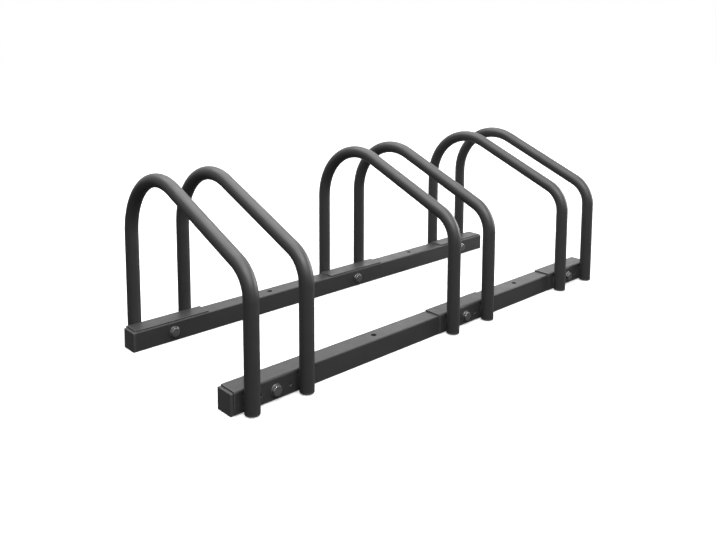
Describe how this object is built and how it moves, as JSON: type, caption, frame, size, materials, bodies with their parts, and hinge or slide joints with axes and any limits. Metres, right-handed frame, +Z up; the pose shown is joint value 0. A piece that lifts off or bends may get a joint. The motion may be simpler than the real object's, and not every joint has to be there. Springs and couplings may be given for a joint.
{
  "type": "bike rack",
  "caption": "Low floor bicycle rack: pairs of bent round-tube hoops welded to angle brackets that bolt onto parallel square-tube rails; each pair holds a wheel upright.",
  "frame": {"origin": "on the ground, under the centre of the rack's overall box", "axes": "+X along the rails, +Y from the low front of the hoops to the high rear, +Z up"},
  "size_m": [0.7574, 0.3064, 0.2528],
  "materials": {
    "rail_coat": "satin powder coat, anthracite",
    "hoop_coat": "satin powder coat, anthracite",
    "bracket_coat": "satin powder coat, anthracite",
    "weld_coat": "satin powder coat over a rippled bead",
    "cap_plastic": "moulded, fine grain",
    "plug_plastic": "moulded, fine grain",
    "bolt_steel": "dark plated, semi-gloss",
    "nut_steel": "dark plated, semi-gloss",
    "washer_steel": "dark plated, semi-gloss"
  },
  "bodies": {
    "root": {"front_rail": "rail_coat", "rear_rail": "rail_coat", "end_cap_front_left": "cap_plastic", "end_cap_front_right": "cap_plastic", "end_cap_rear_left": "cap_plastic", "end_cap_rear_right": "cap_plastic", "hoop_1_left": "hoop_coat", "hoop_1_right": "hoop_coat", "hoop_2_left": "hoop_coat", "hoop_2_right": "hoop_coat", "hoop_3_left": "hoop_coat", "hoop_3_right": "hoop_coat", "bracket_1_front": "bracket_coat", "bracket_1_rear": "bracket_coat", "bracket_2_front": "bracket_coat", "bracket_2_rear": "bracket_coat", "bracket_3_front": "bracket_coat", "bracket_3_rear": "bracket_coat", "weld_beads_1": "weld_coat", "weld_beads_2": "weld_coat", "weld_beads_3": "weld_coat", "foot_plug_1_left_front": "plug_plastic", "foot_plug_1_left_rear": "plug_plastic", "foot_plug_1_right_front": "plug_plastic", "foot_plug_1_right_rear": "plug_plastic", "foot_plug_2_left_front": "plug_plastic", "foot_plug_2_left_rear": "plug_plastic", "foot_plug_2_right_front": "plug_plastic", "foot_plug_2_right_rear": "plug_plastic", "foot_plug_3_left_front": "plug_plastic", "foot_plug_3_left_rear": "plug_plastic", "foot_plug_3_right_front": "plug_plastic", "foot_plug_3_right_rear": "plug_plastic", "hex_bolt_1_front": "bolt_steel", "hex_bolt_1_rear": "bolt_steel", "hex_bolt_2_front": "bolt_steel", "hex_bolt_2_rear": "bolt_steel", "hex_bolt_3_front": "bolt_steel", "hex_bolt_3_rear": "bolt_steel", "lock_nut_1_front": "nut_steel", "lock_nut_1_rear": "nut_steel", "lock_nut_2_front": "nut_steel", "lock_nut_2_rear": "nut_steel", "lock_nut_3_front": "nut_steel", "lock_nut_3_rear": "nut_steel", "washers_1": "washer_steel", "washers_2": "washer_steel", "washers_3": "washer_steel"}
  },
  "joints": []
}
